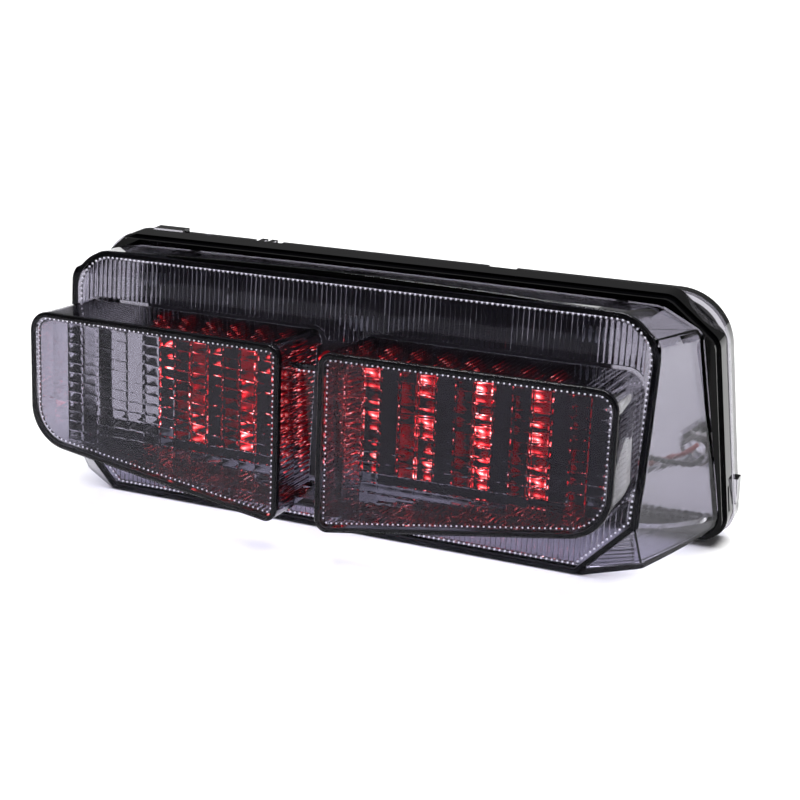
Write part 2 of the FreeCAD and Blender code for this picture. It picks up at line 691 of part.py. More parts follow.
def column_resistors():
    resistors = []
    for column in range(LED_COLUMNS):
        x = column_x(column)
        resistors.append(upright_component(x, RESISTOR_MIDDLE_HEIGHT, RESISTOR_RADIUS, RESISTOR_LENGTH))
    return Part.makeCompound(resistors)


def steering_diodes():
    """Two diodes beside each other near the terminal block."""
    middle_height = LOWER_ROW_TOP - LEAD_LENGTH - DIODE_LENGTH / 2
    diodes = []
    for number in range(2):
        x = BOARD_HALF_WIDTH - DIODE_IN + number * DIODE_PITCH
        diodes.append(upright_component(x, middle_height, DIODE_RADIUS, DIODE_LENGTH))
    return Part.makeCompound(diodes)


def current_regulator():
    width, depth, height = REGULATOR_SIZE
    middle_x = REGULATOR_IN - BOARD_HALF_WIDTH
    return block(
        (middle_x - width / 2, middle_x + width / 2),
        (BOARD_BACK_Y, BOARD_BACK_Y + depth),
        (LOWER_ROW_TOP - height, LOWER_ROW_TOP),
    )


def terminal_block():
    width, depth, height = TERMINAL_SIZE
    return block(
        (TERMINAL_OUTER_X - width, TERMINAL_OUTER_X),
        (BOARD_BACK_Y, BOARD_BACK_Y + depth),
        (TERMINAL_BASE_HEIGHT, TERMINAL_BASE_HEIGHT + height),
    )


def inlet_rod(radius, y_from, y_to):
    """Cylinder on the inlet's axis."""
    return rod(INLET_X, INLET_HEIGHT, radius, y_from, y_to)


def inlet_socket():
    """Round inlet: a nose through the floor, a flange and seal behind it, and a socket for the plug."""
    flange_y = INLET_SEAL_THICKNESS
    barrel_y = flange_y + INLET_FLANGE_THICKNESS
    mouth_y = barrel_y + INLET_BARREL_LENGTH
    flange = inlet_rod(INLET_FLANGE_RADIUS, flange_y, barrel_y)
    barrel = inlet_rod(INLET_SOCKET_RADIUS + INLET_BARREL_WALL, barrel_y, mouth_y)
    socket = inlet_rod(INLET_NOSE_RADIUS, INLET_NOSE_Y, barrel_y).fuse([flange, barrel])
    socket = socket.cut(inlet_rod(INLET_SOCKET_RADIUS, barrel_y, mouth_y))
    well_radius = INLET_NOSE_RADIUS - INLET_NOSE_WALL
    socket = socket.cut(inlet_rod(well_radius, mouth_y - INLET_SOCKET_DEPTH, barrel_y))
    return socket.cut(inlet_pins()).removeSplitter()


def pin_place(number):
    angle = math.pi / 2 + number * 2 * math.pi / PIN_COUNT
    x = INLET_X + PIN_CIRCLE_RADIUS * math.cos(angle)
    return x, INLET_HEIGHT + PIN_CIRCLE_RADIUS * math.sin(angle)


def inlet_pins():
    pins = []
    end_y = INLET_SEAL_THICKNESS + INLET_FLANGE_THICKNESS + PIN_PROJECTION
    for number in range(PIN_COUNT):
        x, z = pin_place(number)
        pins.append(rod(x, z, PIN_RADIUS, INLET_NOSE_Y, end_y))
    return Part.makeCompound(pins)


def inlet_seal():
    whole = inlet_rod(INLET_FLANGE_RADIUS - INLET_SEAL_INSET, 0.0, INLET_SEAL_THICKNESS)
    return whole.cut(inlet_rod(INLET_NOSE_RADIUS + FIT_GAP, 0.0, INLET_SEAL_THICKNESS))


def inlet_nut():
    """Hexagon nut on the nose, inside the cover."""
    nut_y = COVER_FLOOR_Y - INLET_NUT_THICKNESS
    radius = INLET_NOSE_RADIUS + INLET_NUT_RIM
    corners = []
    for step in range(7):
        angle = step * math.pi / 3
        x = INLET_X + radius * math.cos(angle)
        corners.append(vector(x, nut_y, INLET_HEIGHT + radius * math.sin(angle)))
    nut = Part.Face(Part.makePolygon(corners)).extrude(vector(0, INLET_NUT_THICKNESS, 0))
    return nut.cut(inlet_rod(INLET_NOSE_RADIUS + FIT_GAP / 2, nut_y, COVER_FLOOR_Y))


def breather_caps():
    """Rubber breathers, pushed through the floor and held by a barb inside."""
    barb_y = COVER_FLOOR_Y - BREATHER_BARB_LENGTH
    caps = []
    for side in (LEFT, RIGHT):
        x = side * BREATHER_X
        stem = rod(x, BREATHER_HEIGHT, BREATHER_STEM_RADIUS, COVER_FLOOR_Y, 0.0)
        barb_radius = BREATHER_STEM_RADIUS + BREATHER_BARB_RIM
        barb = rod(x, BREATHER_HEIGHT, barb_radius, barb_y, COVER_FLOOR_Y)
        cap_radius = BREATHER_STEM_RADIUS + BREATHER_CAP_RIM
        cap = rod(x, BREATHER_HEIGHT, cap_radius, 0.0, BREATHER_CAP_HEIGHT)
        caps.append(stem.fuse([barb, cap]))
    return Part.makeCompound(caps)


def wire_bend(before, corner, after):
    """Start, middle, end and radius of the arc that joins two straight runs of a wire."""
    back = before - corner
    ahead = after - corner
    half_turn = (math.pi - back.getAngle(ahead)) / 2
    tangent = BEND_SHARE * min(back.Length, ahead.Length)
    radius = tangent / math.tan(half_turn)
    back.normalize()
    ahead.normalize()
    bisector = (back + ahead).normalize()
    centre = corner + bisector * (radius / math.cos(half_turn))
    return corner + back * tangent, centre - bisector * radius, corner + ahead * tangent, radius


def wire(name, places):
    """Round wire along straight runs that are joined by arcs."""
    edges = []
    radii = []
    run_start = places[0]
    for before, corner, after in zip(places, places[1:], places[2:]):
        start, middle, end, radius = wire_bend(before, corner, after)
        edges.append(Part.LineSegment(run_start, start).toShape())
        edges.append(Part.Arc(start, middle, end).toShape())
        radii.append(round(radius, 1))
        run_start = end
    edges.append(Part.LineSegment(run_start, places[-1]).toShape())
    path = Part.Wire(edges)
    section = Part.Wire(Part.makeCircle(WIRE_RADIUS, places[0], places[1] - places[0]))
    solid = path.makePipeShell([section], True, False)
    ratio = solid.Volume / (path.Length * math.pi * WIRE_RADIUS ** 2)
    print(name, "radii", radii, "length", round(path.Length, 1), "volume ratio", round(ratio, 4))
    return solid


def wires():
    """Wires from the terminal block to the inlet's pins.

    Each has its place in the terminal block counted from below, its pin, a bend measured from the
    terminal block, and two bends measured from the pin.
    """
    routes = {
        "ground_wire": (2, 2, (10.5, -0.5, -0.2), (-6.2, -12.9, 1.9), (0.0, -8.9, 0.4)),
        "tail_wire": (1, 0, (9.0, 1.7, 0.5), (-7.5, -10.0, -2.2), (0.0, -7.8, 0.6)),
        "brake_wire": (0, 1, (7.5, 4.1, 1.4), (-7.2, -6.4, -2.3), (0.0, -5.2, 0.0)),
    }
    start_y = BOARD_BACK_Y + TERMINAL_SIZE[1] / 2
    result = {}
    for name, (place, pin, first, second, third) in routes.items():
        start_z = TERMINAL_BASE_HEIGHT + TERMINAL_SIZE[2] * (place + 0.5) / len(routes)
        start = vector(TERMINAL_OUTER_X, start_y, start_z)
        pin_x, pin_z = pin_place(pin)
        end = vector(pin_x, INLET_NOSE_Y, pin_z)
        places = [start, start + vector(*first), end + vector(*second), end + vector(*third), end]
        result[name] = wire(name, places)
    return result


def light():
    """All the pieces by name."""
    pieces = {
        "lens_cover": lens_cover(),
        "rim_frame": rim_frame(),
        "back_cover": back_cover(),
        "lens_seal": lens_seal(),
        "led_board": led_board(),
        "board_screws": board_screws(),
        "column_resistors": column_resistors(),
        "steering_diodes": steering_diodes(),
        "current_regulator": current_regulator(),
        "terminal_block": terminal_block(),
        "left_stud": mounting_stud(LEFT),
        "right_stud": mounting_stud(RIGHT),
        "seat_pads": seat_pads(),
        "inlet_socket": inlet_socket(),
        "inlet_pins": inlet_pins(),
        "inlet_seal": inlet_seal(),
        "inlet_nut": inlet_nut(),
        "breather_caps": breather_caps(),
    }
    for side, word in ((LEFT, "left"), (RIGHT, "right")):
        pieces["brake_leds_" + word] = led_group(side, True)
        pieces["tail_leds_" + word] = led_group(side, False)
    pieces.update(wires())
    return pieces


def export(pieces):
    """One STEP file per piece, moved to the mounting origin."""
    os.makedirs("parts", exist_ok=True)
    for name, shape in pieces.items():
        placed = shape.copy()
        placed.translate(vector(0, -SEAT_Y, -STUD_HEIGHT))
        placed.exportStep("parts/" + name + ".step")
        state = "valid" if placed.isValid() else "INVALID"
        print(name, state, len(placed.Solids), round(placed.Volume))


export(light())
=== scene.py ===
"""Twin-lens LED tail light for a motorcycle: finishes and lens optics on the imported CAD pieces, with
a pale floor, soft light and a camera. Shapes are worked out in millimetres from the plane that the
light rests on (z = 0) and the flat back of its cover (y = 0), with the lens facing -Y."""
import math

import bpy
import numpy as np
from mathutils import Matrix


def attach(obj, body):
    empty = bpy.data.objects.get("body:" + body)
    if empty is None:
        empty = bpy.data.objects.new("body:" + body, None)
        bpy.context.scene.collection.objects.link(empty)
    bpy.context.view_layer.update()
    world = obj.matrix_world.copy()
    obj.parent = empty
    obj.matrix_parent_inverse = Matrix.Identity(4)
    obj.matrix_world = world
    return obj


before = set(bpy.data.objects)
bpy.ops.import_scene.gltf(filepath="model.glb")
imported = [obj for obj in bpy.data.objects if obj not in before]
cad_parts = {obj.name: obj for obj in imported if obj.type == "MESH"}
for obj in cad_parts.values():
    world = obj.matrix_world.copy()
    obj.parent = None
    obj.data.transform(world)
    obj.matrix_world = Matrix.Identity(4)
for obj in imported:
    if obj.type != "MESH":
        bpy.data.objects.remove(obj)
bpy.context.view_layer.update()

# --- Back cover -----------------------------------------------------------------------------------
# Pan injection-moulded in the same smoked polycarbonate as the lens. It closes the back of the light
# and carries the board, the studs and the inlet. It is welded into the rim frame.


def linear(code):
    """Linear RGBA from an sRGB hex colour: the power curve of the sRGB standard, channel by channel."""
    shares = [int(code[i:i + 2], 16) / 255 for i in (0, 2, 4)]
    return tuple(s / 12.92 if s <= 0.04045 else ((s + 0.055) / 1.055) ** 2.4 for s in shares) + (1.0,)


def add(tree, kind, values=None, links=None, **settings):
    """Adds a shader node. Settings are its properties, values go to sockets by name or number, and
    links join its sockets to (node, output) pairs."""
    node = tree.nodes.new("ShaderNode" + kind)
    for key, value in settings.items():
        setattr(node, key, value)
    for key, value in (values or {}).items():
        node.inputs[key].default_value = value
    for key, (source, output) in (links or {}).items():
        tree.links.new(source.outputs[output], node.inputs[key])
    return node


def empty_material(name):
    """A material with an output node only, and the piece's own coordinates in millimetres."""
    material = bpy.data.materials.new(name)
    material.use_nodes = True
    tree = material.node_tree
    tree.nodes.clear()
    output = add(tree, "OutputMaterial")
    coordinates = add(tree, "TexCoord")
    millimetres = add(tree, "VectorMath", {1: (1000, 1000, 1000)}, {0: (coordinates, "Object")},
                      operation="MULTIPLY")
    return material, tree, output, millimetres


def ramp(tree, source, stops):
    """Colour ramp on a (node, output) pair. Stops are (position, hex colour)."""
    node = add(tree, "ValToRGB", links={"Fac": source})
    elements = node.color_ramp.elements
    while len(elements) < len(stops):
        elements.new(0.5)
    for element, (position, code) in zip(elements, stops):
        element.position = position
        element.color = linear(code)
    return node


def moulded(name, dark, light, roughness, grain_mm, depth_mm, **shader):
    """Moulded plastic or rubber: a slow drift between two close shades, and the tool's fine grain as
    bump and as a change of gloss. Grain is the size of one pit and depth how deep it is."""
    material, tree, output, place = empty_material(name)
    drift = add(tree, "TexNoise", {"Scale": 1 / 18, "Detail": 3}, {"Vector": (place, 0)})
    colour = ramp(tree, (drift, "Fac"), [(0.35, dark), (0.65, light)])
    grain = add(tree, "TexNoise", {"Scale": 1 / grain_mm, "Detail": 4, "Roughness": 0.6},
                {"Vector": (place, 0)})
    gloss = add(tree, "MapRange", {"To Min": roughness * 0.8, "To Max": roughness * 1.2},
                {"Value": (grain, "Fac")})
    bump = add(tree, "Bump", {"Strength": 1.0, "Distance": depth_mm / 1000},
               {"Height": (grain, "Fac")})
    surface = add(tree, "BsdfPrincipled", shader,
                  {"Base Color": (colour, "Color"), "Roughness": (gloss, "Result"),
                   "Normal": (bump, "Normal")})
    tree.links.new(surface.outputs["BSDF"], output.inputs["Surface"])
    return material


def paint(node, material):
    """Gives a CAD node its finish."""
    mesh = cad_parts[node].data
    if not mesh.materials:
        mesh.materials.append(material)
    for index in range(len(mesh.materials)):
        mesh.materials[index] = material


def smoked(name, tint, lamp_tint, roughness, ripple_mm, mirror):
    """Smoked polycarbonate: clear plastic with a grey tint that works on what is seen through it. For
    a lamp's rays it is a plain grey filter, as a thin wall of it nearly is. The outside has the
    faint long ripple of a moulded surface. Mirror is how much of the plastic's own gloss is kept."""
    material, tree, output, place = empty_material(name)
    ripple = add(tree, "TexNoise", {"Scale": 1 / ripple_mm, "Detail": 1}, {"Vector": (place, 0)})
    bump = add(tree, "Bump", {"Strength": 1.0, "Distance": 0.00003}, {"Height": (ripple, "Fac")})
    clear = add(tree, "BsdfPrincipled",
                {"Base Color": linear(tint), "Roughness": roughness, "IOR": 1.585,
                 "Transmission Weight": 1.0, "Specular Tint": (mirror, mirror, mirror * 1.15, 1.0)},
                {"Normal": (bump, "Normal")})
    filter_shader = add(tree, "BsdfTransparent", {"Color": linear(lamp_tint)})
    path = add(tree, "LightPath")
    both = add(tree, "MixShader", links={0: (path, "Is Shadow Ray"), 1: (clear, "BSDF"),
                                         2: (filter_shader, "BSDF")})
    tree.links.new(both.outputs["Shader"], output.inputs["Surface"])
    return material


# Smoked polycarbonate from behind: the same grey, a little less polished.
paint("back_cover", smoked("Smoked polycarbonate, back", "A3A1A8", "F2F2F4", 0.05, 12.0, 0.16))

# --- Mounting studs and pads ----------------------------------------------------------------------
# Zinc-plated M6 steel studs whose heads are moulded into the cover. The bracket bears on a black
# EPDM rubber pad around each one.


def turned_steel(name, pitch_mm):
    """Plated steel: a cool mirror broken by turning marks or a thread across its axis."""
    material, tree, output, place = empty_material(name)
    marks = add(tree, "TexWave", {"Scale": 0.314 / pitch_mm, "Distortion": 0.0},
                {"Vector": (place, 0)}, bands_direction="Y")
    stain = add(tree, "TexNoise", {"Scale": 1 / 3, "Detail": 5}, {"Vector": (place, 0)})
    colour = ramp(tree, (stain, "Fac"), [(0.3, "B4B8BC"), (0.7, "CFD2D4")])
    gloss = add(tree, "MapRange", {"To Min": 0.22, "To Max": 0.38}, {"Value": (stain, "Fac")})
    bump = add(tree, "Bump", {"Strength": 1.0, "Distance": 0.0003}, {"Height": (marks, "Fac")})
    surface = add(tree, "BsdfPrincipled", {"Metallic": 1.0},
                  {"Base Color": (colour, "Color"), "Roughness": (gloss, "Result"),
                   "Normal": (bump, "Normal")})
    tree.links.new(surface.outputs["BSDF"], output.inputs["Surface"])
    return material


# Zinc plating: bluish and bright, with the 1 mm pitch of an M6 thread as bands of light.
zinc = turned_steel("Zinc-plated steel, threaded", 1.0)
paint("left_stud", zinc)
paint("right_stud", zinc)
# EPDM: deep black that never mirrors, with a dusty bloom.
rubber = moulded("EPDM rubber, black", "141416", "1E1E20", 0.72, 0.35, 0.03, IOR=1.5)
paint("seat_pads", rubber)

# --- Inlet and breathers --------------------------------------------------------------------------
# Smoked plastic socket with three brass pins, drawn against a rubber seal by a nylon nut. Two
# rubber breathers let the housing equalise its pressure.

# Smoked plastic, thick in section: light passes but is dimmed, with a satin sheen.
paint("inlet_socket", smoked("Smoked polycarbonate, socket", "B4B2B9", "F2F2F4", 0.08, 6.0, 0.16))
# Unfilled nylon: waxy grey, a little uneven.
paint("inlet_nut", moulded("Nylon, natural grey", "8C8A86", "9A9894", 0.4, 0.6, 0.02, IOR=1.53))
paint("inlet_seal", rubber)
paint("breather_caps", rubber)


def plain_metal(name, dark, light, roughness, grain_mm):
    """Drawn or stamped metal: two close shades in small patches, with a slight change of gloss."""
    material, tree, output, place = empty_material(name)
    patch = add(tree, "TexNoise", {"Scale": 1 / grain_mm, "Detail": 4}, {"Vector": (place, 0)})
    colour = ramp(tree, (patch, "Fac"), [(0.35, dark), (0.65, light)])
    gloss = add(tree, "MapRange", {"To Min": roughness * 0.8, "To Max": roughness * 1.3},
                {"Value": (patch, "Fac")})
    surface = add(tree, "BsdfPrincipled", {"Metallic": 1.0},
                  {"Base Color": (colour, "Color"), "Roughness": (gloss, "Result")})
    tree.links.new(surface.outputs["BSDF"], output.inputs["Surface"])
    return material


# Brass: warm yellow, slightly dulled where the plug wipes it.
paint("inlet_pins", plain_metal("Brass, drawn", "B08D47", "D0AE62", 0.25, 0.8))

# --- Circuit board and what is soldered to it -----------------------------------------------------
# FR-4 laminate under a matt black solder mask, on posts of the back cover, with pan-head screws,
# one resistor for each column of LEDs, two diodes, a current regulator and a terminal block.


def solder_mask():
    """Black solder mask: near-black with a faint weave of the glass cloth, and thin raised tracks."""
    material, tree, output, place = empty_material("FR-4 laminate, black solder mask")
    weave = add(tree, "TexWave", {"Scale": 0.314 / 0.8, "Distortion": 0.4}, {"Vector": (place, 0)},
                bands_direction="X")
    tracks = add(tree, "TexBrick", {"Color1": (0, 0, 0, 1), "Color2": (0, 0, 0, 1),
                                    "Mortar": (1, 1, 1, 1), "Scale": 1.0, "Mortar Size": 0.3,
                                    "Brick Width": 10.16, "Row Height": 5.08},
                 {"Vector": (add(tree, "Mapping", {"Rotation": (math.pi / 2, 0, 0)},
                                 {"Vector": (place, 0)}), 0)})
    colour = ramp(tree, (tracks, "Color"), [(0.0, "131217"), (1.0, "201E26")])
    height = add(tree, "Math", {1: 0.2}, {0: (weave, "Fac"), 2: (tracks, "Fac")},
                 operation="MULTIPLY_ADD")
    bump = add(tree, "Bump", {"Strength": 1.0, "Distance": 0.00003}, {"Height": (height, 0)})
    surface = add(tree, "BsdfPrincipled", {"Roughness": 0.45, "IOR": 1.5},
                  {"Base Color": (colour, "Color"), "Normal": (bump, "Normal")})
    tree.links.new(surface.outputs["BSDF"], output.inputs["Surface"])
    return material


# Solder mask: a dull black sheet against which the glow of the LEDs shows.
paint("led_board", solder_mask())
paint("board_screws", plain_metal("Zinc-plated steel", "9A9EA2", "BFC3C6", 0.3, 1.2))
# Resistor body: beige lacquer with an even sheen.
paint("column_resistors", moulded("Resistor lacquer, beige", "B99E78", "C9B08C", 0.35, 0.5, 0.02, IOR=1.5))
# Moulding epoxy: flat black with a trace of gloss.
epoxy = moulded("Moulding epoxy, black", "161618", "1F1F22", 0.5, 0.25, 0.01, IOR=1.55)
paint("steering_diodes", epoxy)
paint("current_regulator", epoxy)
paint("terminal_block", moulded("Nylon, black", "1A1A1E", "26262B", 0.45, 0.5, 0.02, IOR=1.53))

# --- LEDs -----------------------------------------------------------------------------------------
# Round 3 mm through-hole LEDs in red-tinted epoxy. Every third column is wired to the brake circuit
# and burns brightly; the rest are the dimmer tail light.
COLUMN_PITCH, ROW_PITCH = 10.16, 5.08
LED_MIDDLE_Z = 32.4 - 46.0


def lit_epoxy(name, strength):
    """Glowing LED: the light is white-hot on each LED's axis and falls to deep red at its rim. The
    distance from the axis comes from what is left of x and z over the pitch of the LEDs."""
    material, tree, output, place = empty_material(name)
    parts = add(tree, "SeparateXYZ", links={"Vector": (place, 0)})
    squares = []
    for axis, pitch, middle in (("X", COLUMN_PITCH, 0.0), ("Z", ROW_PITCH, LED_MIDDLE_Z)):
        moved = add(tree, "Math", {1: middle}, {0: (parts, axis)}, operation="SUBTRACT")
        turns = add(tree, "Math", {1: pitch}, {0: (moved, 0)}, operation="DIVIDE")
        rest = add(tree, "Math", links={0: (turns, 0)}, operation="FRACT")
        offset = add(tree, "Math", {1: 0.5}, {0: (rest, 0)}, operation="SUBTRACT")
        scaled = add(tree, "Math", {1: pitch}, {0: (offset, 0)}, operation="MULTIPLY")
        squares.append(add(tree, "Math", {1: 2.0}, {0: (scaled, 0)}, operation="POWER"))
    total = add(tree, "Math", links={0: (squares[0], 0), 1: (squares[1], 0)}, operation="ADD")
    distance = add(tree, "Math", links={0: (total, 0)}, operation="SQRT")
    share = add(tree, "Math", {1: 1.9}, {0: (distance, 0)}, operation="DIVIDE")
    glow = ramp(tree, (share, 0), [(0.0, "FFE0DC"), (0.22, "FF6A64"), (0.45, "F01822"), (1.0, "5A0008")])
    power = add(tree, "MapRange", {"To Min": strength, "To Max": strength * 0.04, "From Max": 0.65},
                {"Value": (share, 0)})
    surface = add(tree, "BsdfPrincipled",
                  {"Base Color": linear("8E1018"), "Roughness": 0.12, "IOR": 1.54},
                  {"Emission Color": (glow, "Color"), "Emission Strength": (power, "Result")})
    tree.links.new(surface.outputs["BSDF"], output.inputs["Surface"])
    return material


brake_glow = lit_epoxy("LED epoxy, brake circuit lit", 11.0)
tail_glow = lit_epoxy("LED epoxy, tail circuit lit", 6.0)
for half in ("left", "right"):
    paint("brake_leds_" + half, brake_glow)
    paint("tail_leds_" + half, tail_glow)

# --- Wires ----------------------------------------------------------------------------------------
# Stranded copper in PVC, 1.8 mm across, from the terminal block to the inlet. The insulation is
# extruded, so it is smooth, with the lay of the strands just showing through.
for wire, dark, light in (("ground_wire", "0B0B0D", "141418"), ("tail_wire", "7E1A1C", "962226"),
                          ("brake_wire", "5C5C62", "6C6C72")):
    paint(wire, moulded("PVC insulation, " + wire.split("_")[0], dark, light, 0.38, 1.1, 0.02, IOR=1.53))

# --- Rim frame and sealant ------------------------------------------------------------------------
# Piano-black ABS band that grips the edge of the lens. It is moulded in a polished tool, so it
# mirrors the room, with a faint ripple. A bead of butyl sealant lies behind the lens's edge.
paint("rim_frame", moulded("Polished ABS, piano black", "030304", "050506", 0.07, 6.0, 0.02, IOR=1.18,
                           **{"Coat Weight": 0.05, "Coat Roughness": 0.03}))
paint("lens_seal", moulded("Butyl sealant, black", "1A1A1C", "262628", 0.65, 0.8, 0.08, IOR=1.5))

# --- Lens cover -----------------------------------------------------------------------------------
# One moulding in smoked polycarbonate, 2.4 mm thick, polished on the outside. Its edge sits in the
# rim frame.

# Polished outside: sharp mirror of the room over a grey, see-through depth.
paint("lens_cover", smoked("Smoked polycarbonate, polished", "C4C2CA", "F2F2F4", 0.012, 25.0, 0.16))
# The optics are relief on the inside of the same wall, so they hardly mirror and add little colour.
optic_plastic = smoked("Smoked polycarbonate, optics", "F2F1F6", "F8F8FA", 0.012, 8.0, 0.03)


def at(x, y, z):
    """Points in metres on the mounting origin, from millimetres on the resting plane."""
    x, y, z = np.broadcast_arrays(x, y, z)
    return np.stack([x, y - 6.0, z - 46.0], -1) / 1000


def carried(name, loops, closed, material):
    """A closed loop of points carried along a path. Loops is an array (stations, points, 3). Between
    neighbouring stations and points lies one quad. The ends are joined or filled with a face each."""
    stations, points = loops.shape[:2]
    u = np.arange(stations if closed else stations - 1)
    w = np.arange(points)
    grid_u, grid_w = np.meshgrid(u, w, indexing="ij")
    after_u, after_w = (grid_u + 1) % stations, (grid_w + 1) % points
    corners = [grid_u * points + grid_w, grid_u * points + after_w,
               after_u * points + after_w, after_u * points + grid_w]
    quads = np.stack(corners, -1).reshape(-1, 4)
    flat = loops.reshape(-1, 3)
    a, b, c, d = (flat[quads[:, i]] for i in range(4))
    volume = np.einsum("ij,ij->", a, np.cross(b, c)) + np.einsum("ij,ij->", a, np.cross(c, d))
    faces = quads.tolist()
    if not closed:
        faces += [w[::-1].tolist(), ((stations - 1) * points + w).tolist()]
    mesh = bpy.data.meshes.new(name)
    mesh.from_pydata(flat.tolist(), [], faces)
    if volume < 0:
        mesh.flip_normals()
    mesh.materials.append(material)
    piece = bpy.data.objects.new(name, mesh)
    bpy.context.scene.collection.objects.link(piece)
    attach(piece, "root")
    return piece


# --- Ribs inside the flared sides -----------------------------------------------------------------
# The inside of the lens's top, shoulders, sides and base is drafted into ribs 1.8 mm apart that run
# from the rim frame to the front panel. They are part of the same moulding.
WALL, AIR = 2.4, 0.1
RIB_PITCH = 1.8
# The ribs stop short of the panel and of the facets, and start just inside the rim frame. A facet
# that is steeper than the least slope cuts them as if it had that slope.
RIB_SHORTFALL, FACET_GAP, RIB_REAR_Y, LEAST_SLOPE = 0.9, 0.6, -19.0, 0.3
PANEL_ANGLE = math.radians(8.84)
PANEL_LEAN = math.tan(PANEL_ANGLE)
PANEL_BASE_Y, BODY_REAR_Y = -57.8, -20.0
REAR = [(101.5, 81.6, 5.0), (115.2, 74.4, 5.0), (125.4, 3.6, 8.0)]
PANEL = [(99.0, 85.4, 14.0), (108.6, 76.5, 14.0), (105.4, 0.0, 3.0)]


def moved_in(corners, distance):
    """Corners (x, z, radius) of a clockwise outline with every side moved inwards by the distance."""
    points = np.array([c[:2] for c in corners], float)
    into = points - np.roll(points, 1, 0)
    into /= np.linalg.norm(into, axis=1)[:, None]
    out = np.roll(into, -1, 0)
    normal_in, normal_out = (np.stack([-d[:, 1], d[:, 0]], 1) for d in (into, out))
    reach = -distance / (1 + (normal_in * normal_out).sum(1))
    points = points + (normal_in + normal_out) * reach[:, None]
    return [(x, z, max(c[2] - distance, 0.4)) for (x, z), c in zip(points.tolist(), corners)]


def rounded(corners, arc_steps, side_steps):
    """Points round a clockwise outline and the outward direction at each. A corner is an arc that is
    tangent to both sides, swept by angle, and a side is a straight run between two arcs."""
    points, normals = [], []
    count = len(corners)
    arcs = []
    for index in range(count):
        before, corner, after = (np.array(corners[(index + k) % count][:2], float) for k in (-1, 0, 1))
        into = (corner - before) / np.linalg.norm(corner - before)
        out = (after - corner) / np.linalg.norm(after - corner)
        turn = math.acos(np.clip(into @ out, -1, 1))
        radius = corners[index][2]
        start = corner - into * radius * math.tan(turn / 2)
        normal = np.array([-into[1], into[0]])
        angles = math.atan2(normal[1], normal[0]) - turn * np.linspace(0, 1, arc_steps[index])
        directions = np.stack([np.cos(angles), np.sin(angles)], 1)
        arcs.append((start - normal * radius + directions * radius, directions))
    for index in range(count):
        arc, directions = arcs[index]
        following, _ = arcs[(index + 1) % count]
        share = np.arange(1, side_steps[index])[:, None] / side_steps[index]
        points += [arc, arc[-1] + (following[0] - arc[-1]) * share]
        normals += [directions, np.repeat(directions[-1:], len(share), 0)]
    return np.concatenate(points), np.concatenate(normals)


def both_sides(right_half):
    """The full outline from the corners of its right half, listed from the top to the base."""
    return right_half + [(-x, z, radius) for x, z, radius in reversed(right_half)]


def side_lengths(corners):
    """How long each straight side of an outline is, as whole steps of a tenth of a rib."""
    points = np.array([c[:2] for c in corners], float)
    return [max(2, int(length / RIB_PITCH * 10)) for length in
            np.linalg.norm(np.roll(points, -1, 0) - points, axis=1)]


def ribbed_skin():
    """Ring inside the flared walls. Each station is a straight line from the rear outline to where it
    meets the panel's plane. Between ribs the inner face has a narrow groove, a bell curve across."""
    inset = WALL + AIR
    rear_corners, panel_corners = both_sides(REAR), both_sides(PANEL)
    sides = side_lengths(rear_corners)
    arcs = [18] * len(sides)
    rear, outward = rounded(moved_in(rear_corners, inset), arcs, sides)
    panel, _ = rounded(moved_in(panel_corners, inset), arcs, sides)
    panel_y = PANEL_BASE_Y + inset + panel[:, 1] * PANEL_LEAN + RIB_SHORTFALL
    length = np.concatenate([[0], np.cumsum(np.linalg.norm(np.diff(rear, axis=0), axis=1))])
    turns = round(length[-1] / RIB_PITCH)
    groove = np.exp(-(((turns * length / length[-1]) % 1 - 0.5) / 0.12) ** 2)
    share = np.linspace(0, 1, 7)[:, None]
    x = rear[:, 0] + (panel[:, 0] - rear[:, 0]) * share
    z = rear[:, 1] + (panel[:, 1] - rear[:, 1]) * share
    y = RIB_REAR_Y + (panel_y - RIB_REAR_Y) * share
    # The two facets and the lower sides cut the front of a station short.
    for side in (-1, 1):
        for first, second, third in FACET_PLANES:
            normal = np.cross(second - first, third - first)
            normal *= np.sign(-normal[2]) / np.linalg.norm(normal)
            outside = ((side * x - first[0]) * normal[0] + (y - first[1]) * normal[1]
                       + (z - first[2]) * normal[2])
            over = outside + inset + FACET_GAP
            y = np.where(over > 0, y + over / max(-normal[1], LEAST_SLOPE), y)
    y = np.minimum(y, RIB_REAR_Y)
    outer = at(x, y, z)
    depth = 0.5 - 0.012 * groove
    inner = at(x - outward[:, 0] * depth, y, z - outward[:, 1] * depth)
    return carried("side_ribs", np.concatenate([outer, inner[::-1]]).transpose(1, 0, 2), True,
                   optic_plastic)


# The right facet's corners, and the plane from its back edge to the lower rear corner.
up_side = np.array([106.16, PANEL_BASE_Y + 18.1 * PANEL_LEAN, 18.1])
base_front = np.array([87.86, PANEL_BASE_Y, 0.0])
base_side = np.array([106.86, -45.6, 0.0])
lower_rear = np.array([124.4, BODY_REAR_Y, 11.6])
FACET_PLANES = [(up_side, base_front, base_side), (up_side, base_side, lower_rear)]
ribbed_skin()

# --- Flutes inside the front panel ----------------------------------------------------------------
# Vertical flutes 1.8 mm apart cover the panel's inside above, below and beside the boxes. Each ends
# in a small round tip just inside the panel's edge.
FLUTE_PITCH, FLUTES_TO_X, ROOT_GAP = 1.8, 103.5, 0.4
BOX = [(6.8, 71.0, 4.5), (105.1, 71.0, 7.0), (105.1, 24.8, 15.0), (6.8, 10.8, 4.5)]
BOX_INNER_X, BOX_TOP, BOX_FACE_Y = 6.8, 71.0, -78.7
BLOCK_TOP, BLOCK_BASE = 63.4, 13.2
BOX_LEAN = math.tan(math.radians(5.5))


